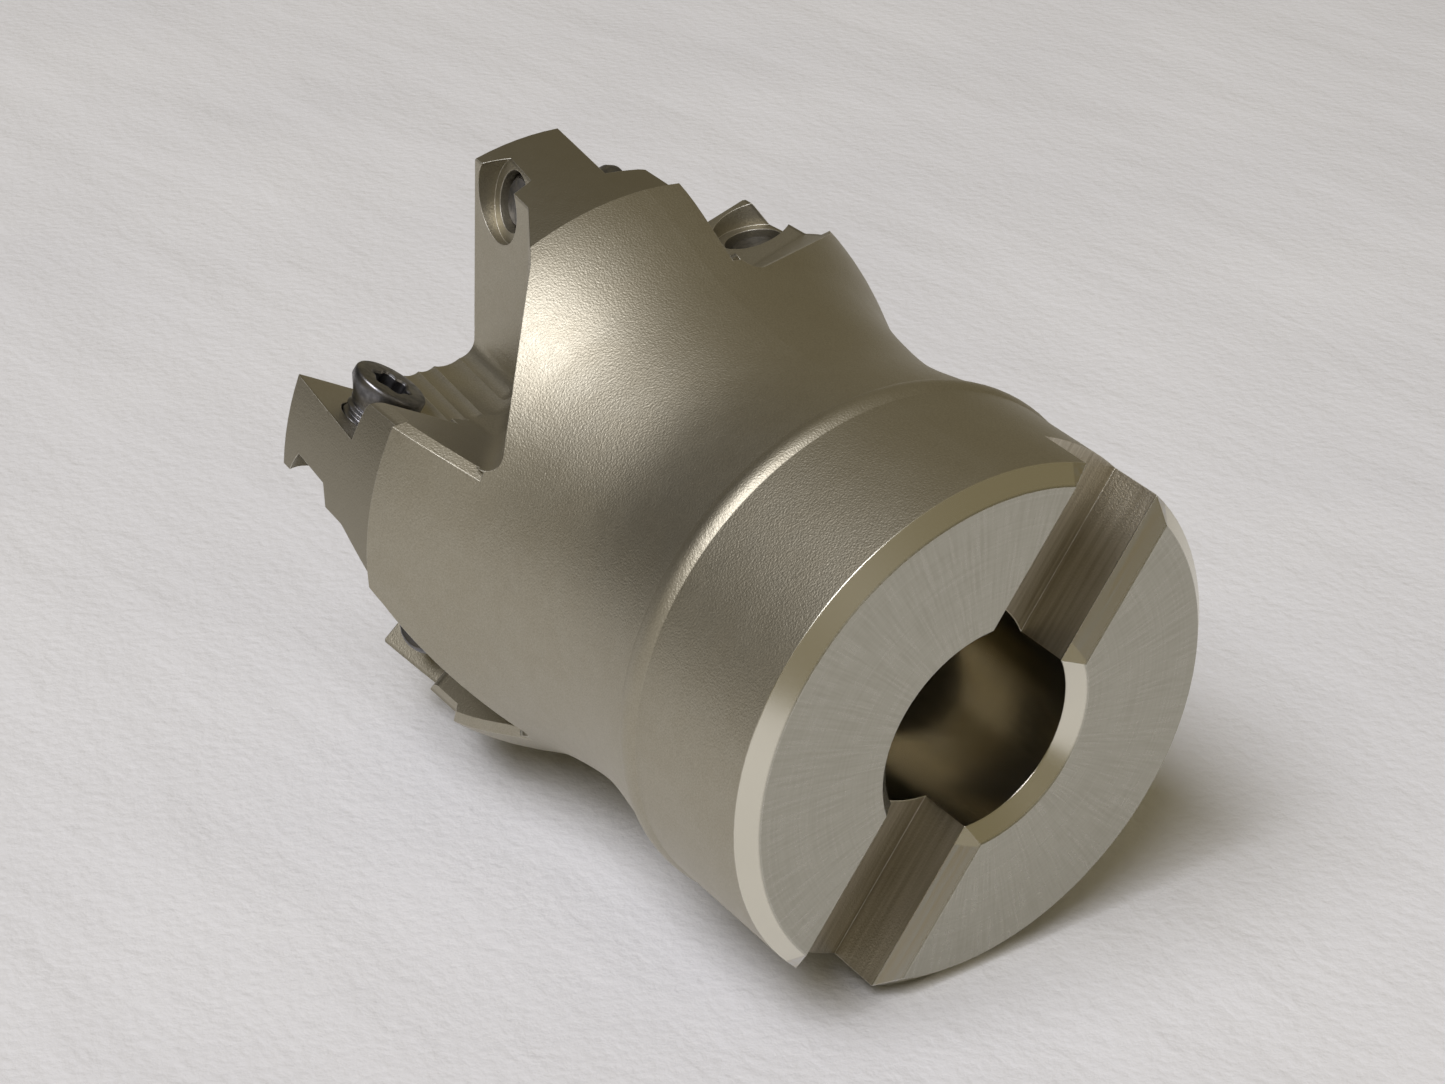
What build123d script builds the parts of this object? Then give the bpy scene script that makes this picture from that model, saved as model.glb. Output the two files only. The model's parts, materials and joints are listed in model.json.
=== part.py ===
"""Shell-type face mill with five empty insert pockets and their backed-out insert screws.

Row frame: the tool axis is Y. The origin is the centre of the back face, where the bore starts.
The back face looks along -Y and the cutting end along +Y. +Z is up as the mill lies on its side,
rolled so that the first tooth is uppermost.
"""
import os
from itertools import combinations
from math import cos, hypot, radians, sin

from build123d import *

# ---- driving dimensions, millimetres and degrees ----
overall_length = 57.0          # back face to the front of the teeth
bore_diameter = 16.0           # pilot bore for the arbor spigot
bore_depth = 20.0
bore_chamfer = 1.15
clamp_hole_diameter = 9.0      # clearance for the M8 arbor screw
screw_recess_diameter = 13.6   # counterbore for the head of the arbor screw
screw_recess_floor = 33.0      # distance of that counterbore's floor from the back face
recess_chamfer = 0.5

key_width = 8.4                # drive slot across the back face
key_depth = 5.6
key_edge_break = 1.2           # chamfer along both top edges of the slot
key_angle = 33.0               # direction of the slot, clockwise from +Z as seen from behind

hub_diameter = 41.2
hub_chamfer = 1.25
bead_diameter = 41.7           # raised bead where the hub ends
bead_start = 12.9
bead_end = 15.0
bead_undercut = 0.1            # how far the neck starts inside the hub, past the bead
waist_diameter = 38.5
waist_position = 23.5
# the neck flares from the waist: distance from it along the axis, and the radius gained there
neck_flare = [(-4.6, 0.5), (0.0, 0.0), (5.5, 0.45), (11.5, 1.8)]
shoulder_run = 3.7             # the flare is ...
shoulder_drop = 1.2            # ... this far below the shoulder, that far behind it
shoulder_diameter = 48.2       # largest diameter, behind the pockets
shoulder_position = 43.2
front_diameter = 47.0          # turned band around the teeth
front_edge_break = 0.2
front_step = 0.5               # run of the step down from the shoulder to that band

tooth_count = 5
first_tooth_angle = 2.5        # the first seat corner, clockwise from +Z as seen from behind

seat_lead = 8.5                # the seat's inner end trails the radius through its corner by this angle
seat_rake = 9.0                # axial rake of the seat
seat_width = 7.4               # radial width of the insert seat
seat_length = 9.0              # axial length of the insert seat
pocket_height = 14.0           # open height over the seat
stop_round = 1.6               # rounding of the axial stop's top edge
relief_radius = 0.7            # relief drilled in the seat's inner corner ...
relief_inset = 0.3             # ... with its centre this far inside both walls

gullet_wall_angle = 69.1       # direction of the gullet's far wall, from its seat corner
gullet_corner = (7.82, 3.12)   # where that wall meets the gullet's floor at the front
gullet_wall_tilt = 6.0         # the far wall closes in towards the back by this angle
gullet_facet_tilt = 31.2       # its rear part closes in faster
gullet_facet_step = 2.45       # how far the rear part stands in from the wall's front edge ...
gullet_facet_place = 45.5      # ... at this distance from the back face
gullet_ledge = (23.36, 2.5)    # outer edge of the ledge behind the seat
ledge_edge_break = 0.7         # chamfer along that outer edge ...
ledge_break_end = 35.3         # ... which stops this far from the back face
gullet_end_normal = (0.779, -0.187, 0.598)     # the floor runs out up a ramp square to this ...
gullet_end_point = (19.32, 10.25, 38.0)        # ... and through this point
gullet_root = 1.4              # corner radius left by the gullet cutter
wall_pass_radius = 2.6         # the ball-end pass beside the far wall
scallop_radius = 1.4           # the passes that finish the rest of the gullet floor
scallop_pitch = 1.3
scallop_depth = 0.3
scallop_count = 4
scallop_start = 4.45           # from the far wall to the first of them
scallop_end = 48.8             # distance from the back face where the passes run out

screw_inset = 4.3              # from the seat corner to the screw axis, along the seat's width
screw_setback = 4.9            # from the front face to the screw axis, along the seat's length
screw_size = 4.4               # outside diameter of the insert screw's thread
screw_hole = 4.8
spot_face_diameter = 6.6       # spot face at the hole's far end, in the back of the tooth
spot_face_depth = 5.0          # from the seat to the spot face
screw_length = 8.2
screw_tail_chamfer = 0.4
screw_head_diameter = 6.0
screw_rim_height = 0.8
screw_cone_height = 1.3
screw_lift = 3.6               # height of the head's top above the seat, as backed out
socket_radius = 1.65           # six-lobe socket, to the tips of its lobes
socket_lobe = 0.45             # radius of a lobe
socket_core = 1.38             # radius of the round core between the lobes
socket_depth = 1.9

# ---- frames ----
# Tool frame: x towards +Z, y towards +X, z along the tool axis +Y.
tool_plane = Plane(origin=(0, 0, 0), x_dir=(0, 0, 1), z_dir=(0, 1, 0))
front_radius = front_diameter / 2
reach = 40.0                   # longer than any cut needs to be
pitch_angle = 360.0 / tooth_count


def pocket_turn(index):
    """Rotation about the tool axis that carries the pocket frame to pocket number index."""
    return Rot(0, 0, first_tooth_angle + pitch_angle * index)


def seat_plane():
    """Plane of the insert seat: origin at its front outer corner, x inwards, y forwards, z up from it."""
    lead = radians(seat_lead)
    rake = radians(seat_rake)
    inward = Vector(-cos(lead), -sin(lead), 0)
    rise = Vector(-sin(lead), cos(lead), 0)
    backward = Vector(0, 0, -1) * cos(rake) - rise * sin(rake)
    normal = backward.cross(inward)
    return Plane(origin=(front_radius, 0, overall_length), x_dir=inward, z_dir=normal)


def turned_blank():
    """Outside of the body as one turned profile."""
    neck = [(waist_diameter / 2 + gain, waist_position + along) for along, gain in neck_flare]
    flare_end = (shoulder_diameter / 2 - shoulder_drop, shoulder_position - shoulder_run)
    outline = BuildLine()
    with outline:
        a = Line((0, 0), (hub_diameter / 2 - hub_chamfer, 0))
        b = Line(a @ 1, (hub_diameter / 2, hub_chamfer))
        c = Line(b @ 1, (hub_diameter / 2, bead_start))
        d = ThreePointArc(
            c @ 1,
            (bead_diameter / 2, (bead_start + bead_end) / 2),
            (hub_diameter / 2 - bead_undercut, bead_end),
        )
        e = Spline(d @ 1, *neck, flare_end, (shoulder_diameter / 2, shoulder_position))
        f = Line(e @ 1, (front_radius, shoulder_position + front_step))
        g = Line(f @ 1, (front_radius, overall_length - front_edge_break))
        h = Line(g @ 1, (front_radius - front_edge_break, overall_length))
        i = Line(h @ 1, (0, overall_length))
        Line(i @ 1, (0, 0))
    face = Plane.XZ * make_face(outline.line)
    return revolve(face, Axis.Z)


def through_bore():
    """Pilot bore, clamp hole and front counterbore as one solid to take away."""
    pilot = Pos(0, 0, bore_depth / 2) * Cylinder(bore_diameter / 2, bore_depth)
    mouth = Pos(0, 0, bore_chamfer / 2) * Cone(
        bore_diameter / 2 + bore_chamfer, bore_diameter / 2, bore_chamfer
    )
    neck = Pos(0, 0, overall_length / 2) * Cylinder(clamp_hole_diameter / 2, overall_length)
    depth = overall_length - screw_recess_floor
    recess = Pos(0, 0, screw_recess_floor + depth / 2) * Cylinder(screw_recess_diameter / 2, depth)
    rim = Pos(0, 0, overall_length - recess_chamfer / 2) * Cone(
        screw_recess_diameter / 2, screw_recess_diameter / 2 + recess_chamfer, recess_chamfer
    )
    return pilot + mouth + neck + recess + rim


def drive_slot():
    """Drive slot across the whole back face, with a chamfer along its two edges."""
    half = key_width / 2
    section = Polyline(
        (-half - key_edge_break, 0),
        (-half, key_edge_break),
        (-half, key_depth),
        (half, key_depth),
        (half, key_edge_break),
        (half + key_edge_break, 0),
        (half + key_edge_break, -1),
        (-half - key_edge_break, -1),
        close=True,
    )
    face = Plane(origin=(-reach, 0, 0), x_dir=(0, 1, 0), z_dir=(1, 0, 0)) * make_face(section)
    return Rot(0, 0, key_angle) * extrude(face, 2 * reach, dir=(1, 0, 0))


def gullet_walls():
    """Planes that bound the gullet, normals into it: far wall, its rear facet, floor, ledge and end."""
    wall = radians(gullet_wall_angle)
    lead = radians(seat_lead)
    tilt = radians(gullet_wall_tilt)
    facet_tilt = radians(gullet_facet_tilt)
    across = Vector(sin(wall), -cos(wall), 0)
    outward = Vector(cos(wall), sin(wall), 0)
    root = Vector(*gullet_corner, overall_length)
    facet_point = Vector(*gullet_corner, gullet_facet_place) + across * gullet_facet_step
    return [
        Plane(origin=root, z_dir=across * cos(tilt) + Vector(0, 0, 1) * sin(tilt)),
        Plane(origin=facet_point, z_dir=across * cos(facet_tilt) + Vector(0, 0, 1) * sin(facet_tilt)),
        Plane(origin=root, z_dir=outward),
        Plane(origin=(*gullet_ledge, 0), z_dir=(-sin(lead), cos(lead), 0)),
        Plane(origin=gullet_end_point, z_dir=gullet_end_normal),
    ]


def shared_edges(solid, first, second):
    """Edges of the solid that lie in both planes."""
    planes = (first, second)
    return [e for e in solid.edges() if all(abs(p.to_local_coords(e.center()).Z) < 1e-3 for p in planes)]


def sharp_gullet():
    """Room between the gullet's walls, before its corners are rounded."""
    room = Pos(front_radius, 0, overall_length + 3 - reach / 2) * Box(reach, 2 * reach, reach)
    for plane in gullet_walls():
        room = split(room, bisect_by=plane, keep=Keep.TOP)
    return room


def gullet():
    """Main chip gullet, with its inner corners rounded by the cutter."""
    room = sharp_gullet()
    corners = [edge for pair in combinations(gullet_walls(), 2) for edge in shared_edges(room, *pair)]
    return fillet(corners, gullet_root)


def insert_pocket():
    """Room over the insert seat: seat face, axial stop and radial stop, open towards the gullet."""
    face = Pos(seat_width / 2 - 2, 2 - seat_length / 2) * Rectangle(seat_width + 4, seat_length + 4)
    return extrude(seat_plane() * face, pocket_height)


def corner_relief():
    """Relief drilled down the inner corner of the seat."""
    corner = Pos(seat_width - relief_inset, relief_inset - seat_length) * Circle(relief_radius)
    return extrude(seat_plane() * corner, pocket_height)


def chip_room():
    """Gullet and insert seat together, with the top edge of the axial stop rounded over."""
    plane = seat_plane()
    stop = Plane(origin=plane.from_local_coords(Vector(0, -seat_length, 0)), z_dir=plane.y_dir)
    ledge = gullet_walls()[3]
    room = gullet() + insert_pocket()
    return fillet(shared_edges(room, stop, ledge), stop_round) + corner_relief()


def floor_scallops():
    """Parallel ball-end passes that leave low ridges on the gullet floor."""
    wall = radians(gullet_wall_angle)
    across = Vector(sin(wall), -cos(wall), 0)
    outward = Vector(cos(wall), sin(wall), 0)
    tilt = radians(gullet_wall_tilt)
    along = Vector(0, 0, 1) * cos(tilt) - across * sin(tilt)
    root = Vector(*gullet_corner, overall_length)
    passes = []
    cuts = [(wall_pass_radius, wall_pass_radius)]
    for index in range(scallop_count):
        cuts.append((scallop_start + scallop_pitch * index, scallop_radius))
    for offset, radius in cuts:
        start = root + across * offset + outward * (radius - scallop_depth)
        back = start - along * (overall_length - scallop_end)
        plane = Plane(origin=back, z_dir=along)
        passes.append(plane * Pos(0, 0, 10) * Cylinder(radius, 20))
        passes.append(Pos(*back) * Sphere(radius))
    result = passes[0]
    for piece in passes[1:]:
        result += piece
    return result


def screw_plane():
    """Frame of an insert screw: origin on the seat at the hole, z outwards along the screw."""
    plane = seat_plane()
    origin = plane.from_local_coords(Vector(screw_inset, -screw_setback, 0))
    return Plane(origin=origin, x_dir=plane.x_dir, z_dir=plane.z_dir)


def screw_bore():
    """Hole for the insert screw, right through the tooth, with a spot face at its far end."""
    hole = Pos(0, 0, -10) * Cylinder(screw_hole / 2, 20)
    spot_face = Pos(0, 0, -spot_face_depth - 4) * Cylinder(spot_face_diameter / 2, 8)
    return screw_plane() * (hole + spot_face)


def six_lobe_socket():
    """Six-lobe driver socket, with its mouth at z = 0."""
    core = Cylinder(socket_core, 2 * socket_depth)
    for index in range(6):
        turn = Rot(0, 0, 60 * index)
        core += turn * Pos(socket_radius - socket_lobe, 0, 0) * Cylinder(socket_lobe, 2 * socket_depth)
    return core


def insert_screw():
    """Countersunk six-lobe insert screw, backed out, in the pocket frame."""
    profile = Polyline(
        (0, 0),
        (screw_head_diameter / 2, 0),
        (screw_head_diameter / 2, -screw_rim_height),
        (screw_size / 2, -screw_rim_height - screw_cone_height),
        (screw_size / 2, -screw_length + screw_tail_chamfer),
        (screw_size / 2 - screw_tail_chamfer, -screw_length),
        (0, -screw_length),
        close=True,
    )
    body = revolve(Plane.XZ * make_face(profile), Axis.Z) - six_lobe_socket()
    return screw_plane() * Pos(0, 0, screw_lift) * body


def ledge_bevel():
    """Sliver to take off where the ledge meets the outside of the body."""
    ledge = gullet_walls()[3]
    notched = turned_blank() - sharp_gullet()
    rim = []
    for edge in notched.edges():
        ends = (edge @ 0, edge @ 1)
        flat = all(abs(ledge.to_local_coords(point).Z) < 1e-3 for point in (*ends, edge @ 0.5))
        outside = all(hypot(point.X, point.Y) > waist_diameter / 2 for point in ends)
        if flat and outside:
            rim.append(edge)
    sliver = notched - chamfer(rim, ledge_edge_break)
    return split(sliver, bisect_by=Plane(origin=(0, 0, ledge_break_end), z_dir=(0, 0, 1)), keep=Keep.TOP)


def mill_body():
    """The one-piece steel body."""
    body = turned_blank() - through_bore() - drive_slot()
    cuts = (chip_room() + floor_scallops() + screw_bore(), ledge_bevel())
    for index in range(tooth_count):
        for cut in cuts:
            body -= pocket_turn(index) * cut
    return body


def main():
    os.makedirs("parts", exist_ok=True)
    body = tool_plane * mill_body()
    export_step(body, "parts/mill_body.step")
    for index in range(tooth_count):
        screw = tool_plane * pocket_turn(index) * insert_screw()
        export_step(screw, f"parts/insert_screw_{index + 1}.step")
        seat = Plane(tool_plane.location * pocket_turn(index) * screw_plane().location)
        print("screw", index + 1, "seat point", seat.origin, "axis", seat.z_dir)


main()
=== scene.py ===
"""Looks of a five-tooth face mill with empty pockets and backed-out insert screws.

Row frame, in metres: the tool axis is Y, the back face looks along -Y and +Z is up.
"""

import json
import logging
import math
from dataclasses import dataclass
from enum import Enum

import bpy
import numpy as np
from mathutils import Matrix, Vector


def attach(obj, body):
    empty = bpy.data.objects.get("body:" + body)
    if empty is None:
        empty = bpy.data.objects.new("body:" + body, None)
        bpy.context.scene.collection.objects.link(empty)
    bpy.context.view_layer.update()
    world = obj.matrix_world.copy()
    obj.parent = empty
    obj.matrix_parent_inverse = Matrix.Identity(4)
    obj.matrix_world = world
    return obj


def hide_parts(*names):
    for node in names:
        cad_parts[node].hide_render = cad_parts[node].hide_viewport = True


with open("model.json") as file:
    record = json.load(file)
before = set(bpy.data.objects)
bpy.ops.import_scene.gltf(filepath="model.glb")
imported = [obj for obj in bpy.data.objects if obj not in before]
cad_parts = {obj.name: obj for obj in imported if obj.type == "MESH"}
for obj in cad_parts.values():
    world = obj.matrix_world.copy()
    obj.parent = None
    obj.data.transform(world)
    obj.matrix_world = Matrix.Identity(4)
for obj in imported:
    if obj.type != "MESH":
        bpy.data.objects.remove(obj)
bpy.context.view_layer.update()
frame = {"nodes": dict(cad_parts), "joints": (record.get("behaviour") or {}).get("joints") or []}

MM = 0.001
SCREW_COUNT = 5
RESTING_UP = Vector((0.0, 0.082, 0.997)).normalized()
LOG = logging.getLogger("face_mill")
Colour = tuple[float, float, float]
Place = tuple[float, float, float]
Socket = bpy.types.NodeSocket


class Sum(Enum):
    """Arithmetic that a Math node can do, by the sign or word it goes under here."""

    PLUS = "ADD"
    MINUS = "SUBTRACT"
    TIMES = "MULTIPLY"
    SIZE = "ABSOLUTE"
    LARGER = "MAXIMUM"
    ANGLE = "ARCTAN2"
    ROOT = "SQRT"


class NodeBench:
    """One material's node tree, with short calls that lay nodes down and wire them up."""

    ROUNDING_SAMPLES = 6
    OPEN_TURN = 0.99
    EDGE_TURN = 0.88

    def __init__(self, name: str) -> None:
        """Start an empty finish of that name, with its shader and its Object coordinates."""
        self.material = bpy.data.materials.new(name)
        self.material.use_nodes = True
        self.nodes = self.material.node_tree.nodes
        self.links = self.material.node_tree.links
        self.shader = self.nodes["Principled BSDF"]
        self.place = self.nodes.new("ShaderNodeTexCoord").outputs["Object"]

    def feed(self, socket: Socket, value: object) -> None:
        """Set a socket to a number or colour, or wire another node's output to it."""
        if isinstance(value, bpy.types.NodeSocket):
            self.links.new(value, socket)
        elif isinstance(value, tuple):
            socket.default_value = (*value, 1.0)[: len(socket.default_value)]
        else:
            socket.default_value = value

    def work(self, kind: Sum, first: object, second: object = 0.0) -> Socket:
        """Put one or two values through a Math node.

        Args:
            kind: the sum to do.
            first: a number or an output.
            second: a number or an output.

        Returns:
            The node's output.
        """
        node = self.nodes.new("ShaderNodeMath")
        node.operation = kind.value
        self.feed(node.inputs[0], first)
        self.feed(node.inputs[1], second)
        return node.outputs[0]

    def ramp(self, value: Socket, start: float, end: float, low: float = 0.0, high: float = 1.0) -> Socket:
        """Run evenly from low to high while value runs from start to end, and stay level outside.

        Args:
            value: the output to follow.
            start: the value at which the ramp starts.
            end: the value at which it ends.
            low: the result at the start.
            high: the result at the end.

        Returns:
            The ramp's output.
        """
        node = self.nodes.new("ShaderNodeMapRange")
        self.feed(node.inputs["Value"], value)
        self.feed(node.inputs["From Min"], start)
        self.feed(node.inputs["From Max"], end)
        self.feed(node.inputs["To Min"], low)
        self.feed(node.inputs["To Max"], high)
        return node.outputs["Result"]

    def noise(self, scale: float, detail: float = 2.0, place: Socket | None = None) -> Socket:
        """Soft random grain.

        Args:
            scale: grains per metre.
            detail: how many finer octaves are added.
            place: the coordinates to read, or None for the Object coordinates.

        Returns:
            The grain, about 0 to 1.
        """
        node = self.nodes.new("ShaderNodeTexNoise")
        self.feed(node.inputs["Vector"], place or self.place)
        self.feed(node.inputs["Scale"], scale)
        self.feed(node.inputs["Detail"], detail)
        return node.outputs["Fac"]

    def mix(self, share: Socket, first: object, second: object) -> Socket:
        """Blend two colours; share 0 gives the first and share 1 the second."""
        node = self.nodes.new("ShaderNodeMix")
        node.data_type = "RGBA"
        self.feed(node.inputs["Factor"], share)
        self.feed(node.inputs["A"], first)
        self.feed(node.inputs["B"], second)
        return node.outputs["Result"]

    def blend(self, share: Socket, first: object, second: object) -> Socket:
        """Blend two numbers; share 0 gives the first and share 1 the second."""
        node = self.nodes.new("ShaderNodeMix")
        self.feed(node.inputs["Factor"], share)
        self.feed(node.inputs["A"], first)
        self.feed(node.inputs["B"], second)
        return node.outputs["Result"]

    def bump(self, height: Socket, depth: float, strength: float, under: Socket | None = None) -> Socket:
        """Raise the surface by a height pattern.

        Args:
            height: the pattern, about 0 to 1.
            depth: how high its top stands, in metres.
            strength: how much of it shows.
            under: normals to work over, or None for the surface's own.

        Returns:
            The bumped normals.
        """
        node = self.nodes.new("ShaderNodeBump")
        self.feed(node.inputs["Height"], height)
        self.feed(node.inputs["Distance"], depth)
        self.feed(node.inputs["Strength"], strength)
        if under is not None:
            self.feed(node.inputs["Normal"], under)
        return node.outputs["Normal"]

    def broken_edges(self, radius: float) -> tuple[Socket, Socket]:
        """Round every edge's shading a little, and find how near each spot is to an edge.

        Args:
            radius: how far the rounding reaches, in metres.

        Returns:
            The rounded normals, and a share that is 0 on open surfaces and 1 on an edge, from how far
            the rounded normal has turned from the true one.
        """
        rounding = self.nodes.new("ShaderNodeBevel")
        rounding.samples = self.ROUNDING_SAMPLES
        self.feed(rounding.inputs["Radius"], radius)
        true = self.nodes.new("ShaderNodeNewGeometry").outputs["Normal"]
        turn = self.nodes.new("ShaderNodeVectorMath")
        turn.operation = "DOT_PRODUCT"
        self.feed(turn.inputs[0], rounding.outputs["Normal"])
        self.feed(turn.inputs[1], true)
        return rounding.outputs["Normal"], self.ramp(turn.outputs["Value"], self.OPEN_TURN, self.EDGE_TURN)


@dataclass(frozen=True)
class MillSizes:
    """Where the mill body's surfaces lie, from the back face, the tool axis or the slot's middle."""

    face_skin: float = 0.08 * MM
    chamfer_depth: float = 1.3 * MM
    hub_chamfer_radius: float = 19.3 * MM
    bore_radius: float = 8.05 * MM
    bore_mouth_radius: float = 9.3 * MM
    bore_depth: float = 20.05 * MM
    slot_half_width: float = 4.22 * MM
    lip_inner: float = 4.15 * MM
    lip_outer: float = 5.5 * MM
    slot_depth: float = 5.65 * MM
    slot_angle: float = math.radians(33.0)
    band_start: float = 43.45 * MM
    band_radius: float = 23.3 * MM
    blend_width: float = 0.06 * MM


class MillRegions:
    """Measures of each spot on the body, and shares from 0 to 1 that say which surface it is on."""

    def __init__(self, bench: NodeBench, sizes: MillSizes) -> None:
        """Measure from the back face, the axis and the drive slot, and mark the surfaces.

        Args:
            bench: the material's node bench.
            sizes: where the surfaces lie.
        """
        self.bench = bench
        self.soft = sizes.blend_width
        split = bench.nodes.new("ShaderNodeSeparateXYZ")
        bench.feed(split.inputs[0], bench.place)
        self.x, self.depth, self.z = split.outputs
        squares = [bench.work(Sum.TIMES, side, side) for side in (self.x, self.z)]
        self.radius = bench.work(Sum.ROOT, bench.work(Sum.PLUS, *squares))
        cosine, sine = math.cos(sizes.slot_angle), math.sin(sizes.slot_angle)
        self.across = bench.work(Sum.SIZE, self.turned_distance(Sum.MINUS, cosine, sine))
        self.along = self.turned_distance(Sum.PLUS, sine, cosine)

        shallow = self.below(self.depth, sizes.chamfer_depth)
        lip_outside = self.below(self.across, sizes.lip_outer)
        lip_width = self.both(lip_outside, self.beyond(self.across, sizes.lip_inner))
        slot_width = self.below(self.across, sizes.slot_half_width)
        bore_wall = self.below(self.radius, sizes.bore_radius)
        band_outside = self.beyond(self.radius, sizes.band_radius)
        self.face = self.below(self.depth, sizes.face_skin)
        self.hub_chamfer = self.both(shallow, self.beyond(self.radius, sizes.hub_chamfer_radius))
        self.slot = self.both(self.below(self.depth, sizes.slot_depth), slot_width)
        self.lip = self.both(shallow, lip_width)
        self.bore = self.both(bore_wall, self.below(self.depth, sizes.bore_depth))
        self.mouth = self.both(shallow, self.below(self.radius, sizes.bore_mouth_radius))
        # The front band: its darker colour is partly its rougher turned finish and partly a painted dark
        # reflection.
        self.darker_band_and_painted_reflection = self.both(self.beyond(self.depth, sizes.band_start), band_outside)

    def turned_distance(self, kind: Sum, share_x: float, share_z: float) -> Socket:
        """Distance along a direction in the back face: x and z, each by its share, joined by the sum."""
        first = self.bench.work(Sum.TIMES, self.x, share_x)
        second = self.bench.work(Sum.TIMES, self.z, share_z)
        return self.bench.work(kind, first, second)

    def below(self, value: Socket, limit: float) -> Socket:
        """1 where value is under the limit, 0 above it."""
        return self.bench.ramp(value, limit - self.soft, limit + self.soft, 1.0, 0.0)

    def beyond(self, value: Socket, limit: float) -> Socket:
        """1 where value is over the limit, 0 under it."""
        return self.bench.ramp(value, limit - self.soft, limit + self.soft)

    def both(self, first: Socket, second: Socket) -> Socket:
        """1 where both shares are 1."""
        return self.bench.work(Sum.TIMES, first, second)

    def any_of(self, *shares: Socket) -> Socket:
        """The largest of several shares."""
        largest = shares[0]
        for share in shares[1:]:
            largest = self.bench.work(Sum.LARGER, largest, share)
        return largest


@dataclass(frozen=True)
class PlatedSteel:
    """Satin nickel plate with a champagne tint over blasted steel, ground bright on the back face."""

    plate: Colour = (0.46, 0.43, 0.345)
    plate_shade: Colour = (0.445, 0.412, 0.325)
    # Darker colour of the front band: partly its rougher turned finish, partly a painted dark reflection.
    darker_band_and_painted_reflection: Colour = (0.31, 0.285, 0.22)
    ground: Colour = (0.44, 0.425, 0.36)
    ground_shade: Colour = (0.40, 0.385, 0.32)
    turned: Colour = (0.74, 0.71, 0.60)
    bore: Colour = (0.70, 0.66, 0.56)
    slot: Colour = (0.58, 0.54, 0.45)
    slot_shade: Colour = (0.40, 0.36, 0.28)
    lip: Colour = (0.60, 0.60, 0.585)
    speck: Colour = (0.26, 0.235, 0.175)
    speck_share: float = 0.30
    worn: Colour = (0.80, 0.78, 0.70)
    least_wear: float = 0.25
    plate_roughness: float = 0.47
    plate_roughness_swing: float = 0.012
    ground_roughness: float = 0.30
    turned_roughness: float = 0.26
    bore_roughness: float = 0.17
    slot_roughness: float = 0.40
    blast_grain: float = 6500.0
    blast_depth: float = 0.035 * MM
    speck_grain: float = 8450.0
    cloud_grain: float = 420.0
    wear_grain: float = 900.0
    scratch_depth: float = 0.004 * MM
    edge_break: float = 0.09 * MM
    brushing_grain: float = 2600.0
    brushing_run: float = 90.0
    streaks_round: float = 60.0
    streak_run: float = 260.0
    rings_round: float = 1.5
    ring_grain: float = 5200.0
    streak_share: float = 0.65

    def mix_up(self, name: str, sizes: MillSizes) -> bpy.types.Material:
        """Lay the finish out over the body's surfaces.

        Args:
            name: the material's name.
            sizes: where those surfaces lie.

        Returns:
            The material.
        """
        bench = NodeBench(name)
        regions = MillRegions(bench, sizes)
        streaks = self.grinding_streaks(bench, regions)
        normals, near_edge = bench.broken_edges(self.edge_break)
        worn_off = bench.ramp(bench.noise(self.wear_grain, 3.0), 0.3, 0.6, self.least_wear, 1.0)
        wear = bench.work(Sum.TIMES, near_edge, worn_off)
        colour = bench.mix(wear, self.colour(bench, regions, streaks), self.worn)
        bench.feed(bench.shader.inputs["Base Color"], colour)
        bench.feed(bench.shader.inputs["Roughness"], self.roughness(bench, regions, streaks))
        bench.feed(bench.shader.inputs["Normal"], self.relief(bench, regions, streaks, normals))
        bench.feed(bench.shader.inputs["Metallic"], 1.0)
        return bench.material

    def colour(self, bench: NodeBench, regions: MillRegions, streaks: Socket) -> Socket:
        """Speckled plate, with the front band (painted darker, partly for its rougher turned finish and
        partly as a painted dark reflection), slot, chamfers, bore and ground face laid over it in turn.

        Args:
            bench: the material's node bench.
            regions: the body's surfaces.
            streaks: the ground face's streaks.

        Returns:
            The colour before any wear.
        """
        cloud = bench.ramp(bench.noise(self.cloud_grain, 4.0), 0.35, 0.65)
        colour = bench.mix(cloud, self.plate, self.plate_shade)
        speckle = bench.ramp(bench.noise(self.speck_grain, 1.0), 0.35, 0.65)
        colour = bench.mix(bench.work(Sum.TIMES, speckle, self.speck_share), colour, self.speck)
        brushed = self.slot_brushing(bench, regions)
        layers = (
            # The front band is painted darker, partly for its rougher turned finish and partly as a
            # painted dark reflection.
            (regions.darker_band_and_painted_reflection, self.darker_band_and_painted_reflection),
            (regions.slot, bench.mix(brushed, self.slot, self.slot_shade)),
            (regions.hub_chamfer, self.turned),
            (regions.lip, bench.mix(brushed, self.lip, self.slot)),
            (regions.mouth, self.turned),
            (regions.bore, self.bore),
            (regions.face, bench.mix(streaks, self.ground, self.ground_shade)),
        )
        for share, layer in layers:
            colour = bench.mix(share, colour, layer)
        return colour

    def roughness(self, bench: NodeBench, regions: MillRegions, streaks: Socket) -> Socket:
        """Satin plate, with the smoother machined surfaces laid over it in turn.

        Args:
            bench: the material's node bench.
            regions: the body's surfaces.
            streaks: the ground face's streaks.

        Returns:
            The roughness.
        """
        low = self.plate_roughness - self.plate_roughness_swing
        high = self.plate_roughness + self.plate_roughness_swing
        rough = bench.ramp(bench.noise(self.cloud_grain * 2, 3.0), 0.3, 0.7, low, high)
        low, high = self.ground_roughness - 0.05, self.ground_roughness + 0.10
        layers = (
            (regions.slot, self.slot_roughness),
            (regions.hub_chamfer, self.turned_roughness),
            (regions.lip, self.turned_roughness),
            (regions.mouth, self.turned_roughness),
            (regions.bore, self.bore_roughness),
            (regions.face, bench.ramp(streaks, 0.0, 1.0, low, high)),
        )
        for share, layer in layers:
            rough = bench.blend(share, rough, layer)
        return rough

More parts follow.
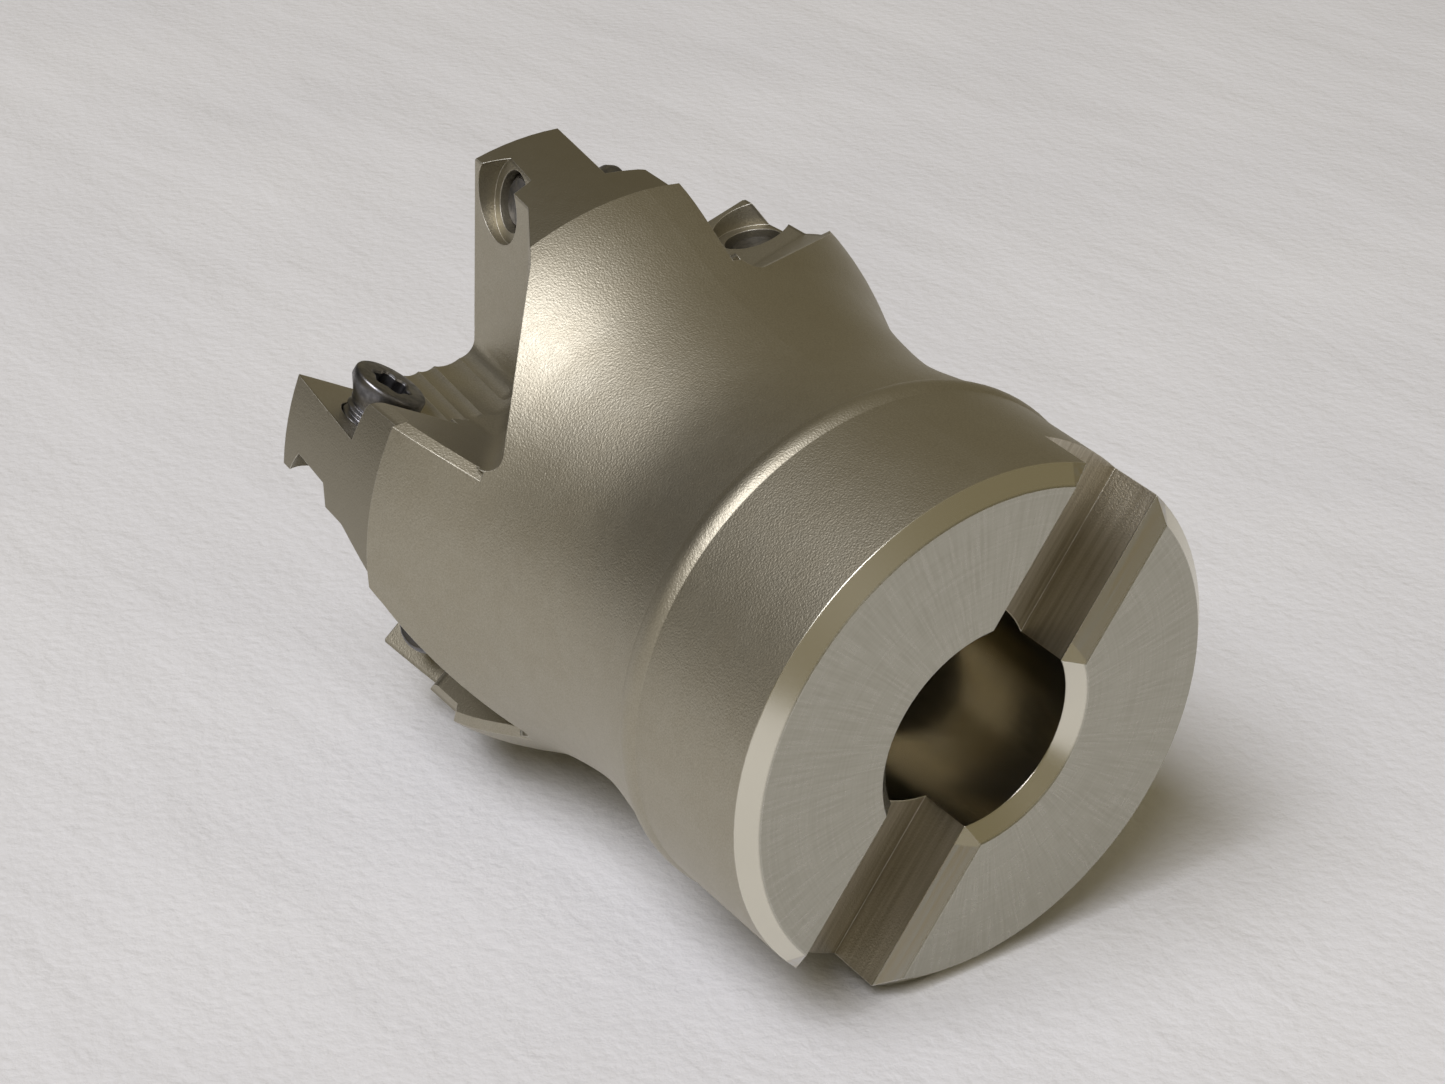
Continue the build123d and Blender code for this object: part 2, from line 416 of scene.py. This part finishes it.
    def relief(self, bench: NodeBench, regions: MillRegions, streaks: Socket, normals: Socket) -> Socket:
        """Blasted grain everywhere but on the machined surfaces, and shallow scratches on the ground face.

        Args:
            bench: the material's node bench.
            regions: the body's surfaces.
            streaks: the ground face's streaks.
            normals: the normals with the edges rounded.

        Returns:
            The bumped normals.
        """
        chamfers = regions.any_of(regions.mouth, regions.hub_chamfer, regions.lip)
        machined = regions.any_of(regions.face, regions.bore, chamfers)
        grain = bench.blend(machined, bench.noise(self.blast_grain, 2.0), 0.5)
        normals = bench.bump(grain, self.blast_depth, 0.9, normals)
        scratches = bench.blend(regions.face, 0.5, streaks)
        return bench.bump(scratches, self.scratch_depth, 0.5, normals)

    def slot_brushing(self, bench: NodeBench, regions: MillRegions) -> Socket:
        """Long milling lines that run with the drive slot.

        A grain is read on the slot's own directions, with many steps across it and down its walls
        and few along it.

        Args:
            bench: the material's node bench.
            regions: the body's surfaces.

        Returns:
            The lines, 0 to 1.
        """
        join = bench.nodes.new("ShaderNodeCombineXYZ")
        bench.feed(join.inputs[0], bench.work(Sum.TIMES, regions.across, self.brushing_grain))
        bench.feed(join.inputs[1], bench.work(Sum.TIMES, regions.depth, self.brushing_grain))
        bench.feed(join.inputs[2], bench.work(Sum.TIMES, regions.along, self.brushing_run))
        return bench.ramp(bench.noise(1.0, 3.0, join.outputs[0]), 0.35, 0.65)

    def grinding_streaks(self, bench: NodeBench, regions: MillRegions) -> Socket:
        """Fine radial streaks of the ground back face, crossed by faint rings.

        A grain is read on polar coordinates: many steps round the axis and few along the radius
        make the streaks, and a second grain with few steps round and many along makes the rings.

        Args:
            bench: the material's node bench.
            regions: the body's surfaces.

        Returns:
            The streaks, 0 to 1.
        """
        angle = bench.work(Sum.ANGLE, regions.x, regions.z)

        def polar_grain(steps_round: float, steps_out: float, detail: float) -> Socket:
            """A grain on the angle and the radius, each stretched by its own steps."""
            join = bench.nodes.new("ShaderNodeCombineXYZ")
            bench.feed(join.inputs[0], bench.work(Sum.TIMES, angle, steps_round))
            bench.feed(join.inputs[1], bench.work(Sum.TIMES, regions.radius, steps_out))
            return bench.noise(1.0, detail, join.outputs[0])

        radial = polar_grain(self.streaks_round, self.streak_run, 4.0)
        rings = polar_grain(self.rings_round, self.ring_grain, 2.0)
        streaks = bench.work(Sum.TIMES, radial, self.streak_share)
        crossing = bench.work(Sum.TIMES, rings, 1.0 - self.streak_share)
        return bench.ramp(bench.work(Sum.PLUS, streaks, crossing), 0.38, 0.62)


@dataclass(frozen=True)
class BlackScrewSteel:
    """Black oxide on the insert screws, worn grey at the edges of the head and the socket."""

    oxide: Colour = (0.24, 0.235, 0.24)
    rubbed: Colour = (0.15, 0.15, 0.155)
    worn: Colour = (0.34, 0.34, 0.35)
    roughness: float = 0.36
    cloud_grain: float = 1500.0
    wear_grain: float = 2600.0
    fine_grain: float = 9000.0
    fine_depth: float = 0.006 * MM
    edge_break: float = 0.07 * MM

    def mix_up(self, name: str) -> bpy.types.Material:
        """Make the finish: cloudy black with brighter edges and a fine grain.

        Args:
            name: the material's name.

        Returns:
            The material.
        """
        bench = NodeBench(name)
        cloud = bench.ramp(bench.noise(self.cloud_grain, 3.0), 0.35, 0.65)
        colour = bench.mix(cloud, self.oxide, self.rubbed)
        normals, near_edge = bench.broken_edges(self.edge_break)
        worn_off = bench.ramp(bench.noise(self.wear_grain, 2.0), 0.35, 0.6, 0.2, 0.9)
        patchy = bench.work(Sum.TIMES, near_edge, worn_off)
        bench.feed(bench.shader.inputs["Base Color"], bench.mix(patchy, colour, self.worn))
        rough = bench.ramp(cloud, 0.0, 1.0, self.roughness - 0.06, self.roughness + 0.08)
        bench.feed(bench.shader.inputs["Roughness"], rough)
        normals = bench.bump(bench.noise(self.fine_grain, 2.0), self.fine_depth, 0.5, normals)
        bench.feed(bench.shader.inputs["Normal"], normals)
        bench.feed(bench.shader.inputs["Metallic"], 1.0)
        return bench.material


@dataclass(frozen=True)
class BenchCloth:
    """Thin white non-woven cloth that the mill lies on."""

    cloth: Colour = (0.85, 0.85, 0.855)
    shade: Colour = (0.81, 0.81, 0.82)
    roughness: float = 0.95
    sheen_level: float = 0.15
    cloud_grain: float = 22.0
    crease_grain: float = 70.0
    crease_depth: float = 2.0 * MM
    crease_turn: float = math.radians(35.0)
    crease_stretch: float = 0.35
    fibre_grain: float = 1100.0
    fibre_depth: float = 0.3 * MM

    def mix_up(self, name: str) -> bpy.types.Material:
        """Make the cloth: faint clouds, soft creases and a fibrous grain.

        Args:
            name: the material's name.

        Returns:
            The material.
        """
        bench = NodeBench(name)
        cloud = bench.ramp(bench.noise(self.cloud_grain, 4.0), 0.35, 0.65)
        bench.feed(bench.shader.inputs["Base Color"], bench.mix(cloud, self.cloth, self.shade))
        bench.feed(bench.shader.inputs["Roughness"], self.roughness)
        bench.feed(bench.shader.inputs["Specular IOR Level"], self.sheen_level)
        stretch = bench.nodes.new("ShaderNodeMapping")
        bench.feed(stretch.inputs["Vector"], bench.place)
        stretch.inputs["Rotation"].default_value = (0.0, 0.0, self.crease_turn)
        stretch.inputs["Scale"].default_value = (1.0, self.crease_stretch, 1.0)
        creases = bench.noise(self.crease_grain, 4.0, stretch.outputs[0])
        normals = bench.bump(creases, self.crease_depth, 0.5)
        normals = bench.bump(bench.noise(self.fibre_grain, 4.0), self.fibre_depth, 0.6, normals)
        bench.feed(bench.shader.inputs["Normal"], normals)
        return bench.material


class Surface:
    """Meshes worked out as grids of whole arrays."""

    SHARP_TURN = math.radians(32.0)

    @staticmethod
    def closed_turning(
        name: str, rings: np.ndarray, start: np.ndarray, end: np.ndarray
    ) -> bpy.types.Object:
        """Skin a stack of closed rings and close both ends with a point.

        The rings are joined by two triangles per cell of the grid, and each end ring fans to its pole.

        Args:
            name: the piece's name.
            rings: points, shaped (ring, step round, 3), anticlockwise seen from the start pole.
            start: the pole before the first ring.
            end: the pole after the last ring.

        Returns:
            The new object, with smooth faces and sharp edges where they turn hard.
        """
        count, steps, _ = rings.shape
        points = np.concatenate([rings.reshape(-1, 3), start[None], end[None]])
        index = np.arange(count * steps).reshape(count, steps)
        ahead = np.roll(index, -1, axis=1)
        first = np.stack([index[:-1], index[1:], ahead[1:]], axis=-1).reshape(-1, 3)
        second = np.stack([index[:-1], ahead[1:], ahead[:-1]], axis=-1).reshape(-1, 3)
        start_fan = np.stack([np.full(steps, count * steps), index[0], ahead[0]], axis=-1)
        end_fan = np.stack([np.full(steps, count * steps + 1), ahead[-1], index[-1]], axis=-1)
        faces = np.concatenate([first, second, start_fan, end_fan])
        mesh = bpy.data.meshes.new(name)
        mesh.from_pydata(points, [], faces)
        mesh.polygons.foreach_set("use_smooth", np.ones(len(faces), bool))
        mesh.set_sharp_from_angle(angle=Surface.SHARP_TURN)
        mesh.update()
        piece = bpy.data.objects.new(name, mesh)
        bpy.context.scene.collection.objects.link(piece)
        return piece


def node_points(node: str) -> np.ndarray:
    """The points of a frame node's mesh, shaped (point, 3), in metres."""
    mesh = frame["nodes"][node].data
    points = np.empty(len(mesh.vertices) * 3, np.float32)
    mesh.vertices.foreach_get("co", points)
    return points.reshape(-1, 3)


@dataclass
class MillBody:
    """The one-piece steel body, dressed as it comes from the frame."""

    node: str = "mill_body"
    sizes: MillSizes = MillSizes()
    finish: PlatedSteel = PlatedSteel()

    def dress(self) -> None:
        """Give the body its plated and ground finish."""
        body = frame["nodes"][self.node]
        body.data.materials[0] = self.finish.mix_up("champagne_plate", self.sizes)
        LOG.info("%s: plated, with a ground back face", self.node)

    def lowest(self, up: Vector) -> float:
        """Distance from the origin to the plane that the body rests on, along up."""
        return float((node_points(self.node) @ np.array(up)).min())


@dataclass
class InsertScrew:
    """One countersunk six-lobe insert screw with a cut thread, in place of its plain frame node."""

    number: int
    finish: bpy.types.Material
    head_radius: float = 3.0 * MM
    rim_height: float = 0.8 * MM
    rim_round: float = 0.28 * MM
    cone_height: float = 1.3 * MM
    thread_radius: float = 2.2 * MM
    thread_depth: float = 0.34 * MM
    thread_pitch: float = 0.7 * MM
    thread_rise: float = 1.5
    thread_reach: float = 1.25
    length: float = 8.2 * MM
    tail_chamfer: float = 0.4 * MM
    socket_core: float = 1.32 * MM
    socket_lobe: float = 0.33 * MM
    socket_depth: float = 1.9 * MM
    socket_lead: float = 0.16 * MM
    steps_round: int = 108
    steps_per_pitch: int = 9

    def node(self) -> str:
        """Name of the frame's node, and of the body, that this screw stands for."""
        return f"insert_screw_{self.number}"

    def axis(self) -> Vector:
        """Direction of the screw, from its tail to its head, as its joint slides."""
        joint = next(j for j in frame["joints"] if j["child"] == self.node())
        return Vector(joint["axis"]).normalized()

    def head_frame(self) -> tuple[np.ndarray, np.ndarray]:
        """Find the centre of the head's top on the frame's own screw.

        The node's points are measured along the screw and along two directions square to it; the
        middle of the two widths is on the screw's axis, and the highest point is the head's top.

        Returns:
            The centre, and a matrix whose columns are the two side directions and the axis.
        """
        turn = np.array(self.axis().to_track_quat("Z", "Y").to_matrix())
        local = node_points(self.node()) @ turn
        middle = (local.min(0) + local.max(0)) / 2
        middle[2] = local[:, 2].max()
        return turn @ middle, turn

    def rings(self) -> np.ndarray:
        """Work out the screw's skin on a grid of height and angle.

        Each ring has a plain radius and height from the profile. In the socket the radius swells with
        the cosine of six times the angle. Along the shank it dips by a triangle wave of the height
        over the pitch plus the angle over a full turn, which is the thread's helix. The wave is cut
        off at 0 and 1, which leaves flat crests and roots, and it grows over the first pitch.

        Returns:
            Points shaped (ring, step round, 3), from the socket's floor over the head to the tail.
        """
        neck = -self.rim_height - self.cone_height
        bend = np.linspace(0.0, math.pi / 2, 5)
        rim_in = self.head_radius - self.rim_round
        thread_count = int((self.length + neck) / self.thread_pitch * self.steps_per_pitch)
        shank = np.linspace(neck, -self.length + self.tail_chamfer, thread_count)
        radius = np.concatenate([
            [self.socket_core, self.socket_core, self.socket_core + self.socket_lead],
            rim_in + self.rim_round * np.sin(bend),
            [self.head_radius],
            np.full(thread_count, self.thread_radius),
            [self.thread_radius - self.tail_chamfer],
        ])
        height = np.concatenate([
            [-self.socket_depth, -self.socket_lead, 0.0],
            self.rim_round * (np.cos(bend) - 1.0),
            [-self.rim_height],
            shank,
            [-self.length],
        ])
        lobes = np.zeros(len(radius))
        lobes[:3] = 1.0
        cut = np.zeros(len(radius))
        run = np.clip((neck - shank) / self.thread_pitch, 0.0, 1.0)
        cut[-thread_count - 1 : -1] = run
        angle = np.linspace(0.0, 2 * math.pi, self.steps_round, endpoint=False)
        swell = self.socket_lobe * (0.5 + 0.5 * np.cos(6 * angle))
        phase = (height[:, None] / self.thread_pitch + angle[None, :] / (2 * math.pi)) % 1.0
        wave = self.thread_reach - np.abs(phase * 2 - 1) * self.thread_rise
        dip = self.thread_depth * np.clip(wave, 0.0, 1.0)
        reach = radius[:, None] + lobes[:, None] * swell[None, :] - cut[:, None] * dip
        level = np.broadcast_to(height[:, None], reach.shape)
        return np.stack([reach * np.cos(angle), reach * np.sin(angle), level], axis=-1)

    def build(self) -> bpy.types.Object:
        """Make the screw's mesh where the frame's screw is.

        Returns:
            The screw.
        """
        centre, turn = self.head_frame()
        rings = self.rings() @ turn.T + centre
        floor_point = centre - turn[:, 2] * (self.socket_depth + self.socket_lead)
        tail_point = centre - turn[:, 2] * self.length
        return Surface.closed_turning(f"threaded_screw_{self.number}", rings, floor_point, tail_point)

    def dress(self) -> bpy.types.Object:
        """Build the screw, give it its finish and let it slide with its own body.

        Returns:
            The finished screw.
        """
        screw = self.build()
        screw.data.materials.append(self.finish)
        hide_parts(self.node())
        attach(screw, self.node())
        LOG.info("%s: six-lobe socket and cut thread", screw.name)
        return screw


@dataclass
class Bench:
    """The pale cloth-covered bench that the mill lies on, tipped as the hub and shoulder rest on it."""

    up: Vector
    level: float
    half_size: float = 1.5
    steps: int = 120
    finish: BenchCloth = BenchCloth()

    def build(self) -> bpy.types.Object:
        """Lay the cloth as a flat grid: two directions square to up, swept evenly both ways.

        Returns:
            The bench's top.
        """
        side = self.up.cross(Vector((0.0, 1.0, 0.0))).normalized()
        along = side.cross(self.up)
        sweep = np.linspace(-self.half_size, self.half_size, self.steps)
        a, b = np.meshgrid(sweep, sweep, indexing="ij")
        points = a[..., None] * np.array(side) + b[..., None] * -np.array(along)
        points = (points + np.array(self.up) * self.level).reshape(-1, 3)
        index = np.arange(self.steps**2).reshape(self.steps, self.steps)
        faces = np.stack([index[:-1, :-1], index[1:, :-1], index[1:, 1:], index[:-1, 1:]], axis=-1)
        mesh = bpy.data.meshes.new("bench_cloth")
        mesh.from_pydata(points, [], faces.reshape(-1, 4))
        mesh.update()
        cloth = bpy.data.objects.new("bench_cloth", mesh)
        bpy.context.scene.collection.objects.link(cloth)
        cloth.data.materials.append(self.finish.mix_up("bench_cloth"))
        return cloth


@dataclass
class Studio:
    """Two soft lamps high on the left, dim warm surroundings, and the camera."""

    eye: Place = (-0.130763, -0.141441, 0.130019)
    right: Place = (0.81359, -0.57952, 0.04718)
    upright: Place = (0.26641, 0.44369, 0.85567)
    lens: float = 83.537
    sensor_width: float = 36.0
    nearest: float = 0.01
    farthest: float = 20.0
    key_height: float = math.radians(60.0)
    key_side: float = math.radians(-82.0)
    key_power: float = 8.6
    fill_height: float = math.radians(55.0)
    fill_side: float = math.radians(-115.0)
    fill_power: float = 11.0
    lamp_distance: float = 1.6
    key_size: float = 0.75
    fill_size: float = 0.9
    lamp_tint: Colour = (1.0, 1.0, 1.08)
    room: Colour = (0.215, 0.185, 0.115)
    doorway: Colour = (0.02, 0.016, 0.008)
    doorway_way: Place = (-0.33, 0.90, 0.26)
    doorway_rim: float = 0.70
    doorway_core: float = 0.95

    def set_camera(self) -> None:
        """Stand the camera above and behind the mill, looking down its back face."""
        lens = bpy.data.cameras.new("camera")
        lens.lens = self.lens
        lens.sensor_width = self.sensor_width
        lens.clip_start = self.nearest
        lens.clip_end = self.farthest
        camera = bpy.data.objects.new("camera", lens)
        right = Vector(self.right).normalized()
        back = right.cross(Vector(self.upright)).normalized()
        turn = Matrix((right, back.cross(right), back)).transposed()
        camera.matrix_world = Matrix.Translation(self.eye) @ turn.to_4x4()
        bpy.context.scene.collection.objects.link(camera)
        bpy.context.scene.camera = camera

    def lamp(self, name: str, height: float, side: float, size: float, power: float) -> None:
        """Hang a round lamp that points at the mill.

        Args:
            name: the lamp's name.
            height: its angle above the bench.
            side: its direction round the vertical, from +Y towards +X.
            size: its diameter, in metres.
            power: its power, in watts.
        """
        light = bpy.data.lights.new(name, "AREA")
        light.shape = "DISK"
        light.size = size
        light.energy = power
        light.color = self.lamp_tint
        lamp = bpy.data.objects.new(name, light)
        flat = math.cos(height)
        way = Vector((math.sin(side) * flat, math.cos(side) * flat, math.sin(height)))
        turn = way.to_track_quat("Z", "Y").to_matrix().to_4x4()
        lamp.matrix_world = Matrix.Translation(way * self.lamp_distance) @ turn
        bpy.context.scene.collection.objects.link(lamp)

    def set_room(self) -> None:
        """Tint the surroundings warm and dim, and nearly dark round one low direction, like a doorway."""
        world = bpy.data.worlds.new("room")
        world.use_nodes = True
        nodes = world.node_tree.nodes
        links = world.node_tree.links
        facing = nodes.new("ShaderNodeVectorMath")
        facing.operation = "DOT_PRODUCT"
        facing.inputs[1].default_value = Vector(self.doorway_way).normalized()
        links.new(nodes.new("ShaderNodeTexCoord").outputs["Generated"], facing.inputs[0])
        share = nodes.new("ShaderNodeMapRange")
        share.inputs["From Min"].default_value = self.doorway_rim
        share.inputs["From Max"].default_value = self.doorway_core
        links.new(facing.outputs["Value"], share.inputs["Value"])
        tint = nodes.new("ShaderNodeMix")
        tint.data_type = "RGBA"
        tint.inputs["A"].default_value = (*self.room, 1.0)
        tint.inputs["B"].default_value = (*self.doorway, 1.0)
        links.new(share.outputs["Result"], tint.inputs["Factor"])
        links.new(tint.outputs["Result"], nodes["Background"].inputs["Color"])
        bpy.context.scene.world = world

    def set_lights(self) -> None:
        """Hang the key lamp on the left and the wider fill lamp further back."""
        self.lamp("key_lamp", self.key_height, self.key_side, self.key_size, self.key_power)
        self.lamp("fill_lamp", self.fill_height, self.fill_side, self.fill_size, self.fill_power)
        bpy.context.scene.view_settings.view_transform = "Standard"


def main() -> None:
    """Dress the body, build the five screws, and set the bench, the room, the lights and the camera."""
    logging.basicConfig(level=logging.INFO, format="%(message)s")
    body = MillBody()
    body.dress()
    black = BlackScrewSteel().mix_up("black_oxide")
    for number in range(1, SCREW_COUNT + 1):
        InsertScrew(number, black).dress()
    Bench(RESTING_UP, body.lowest(RESTING_UP)).build()
    studio = Studio()
    studio.set_room()
    studio.set_lights()
    studio.set_camera()


if __name__ == "__main__":
    main()
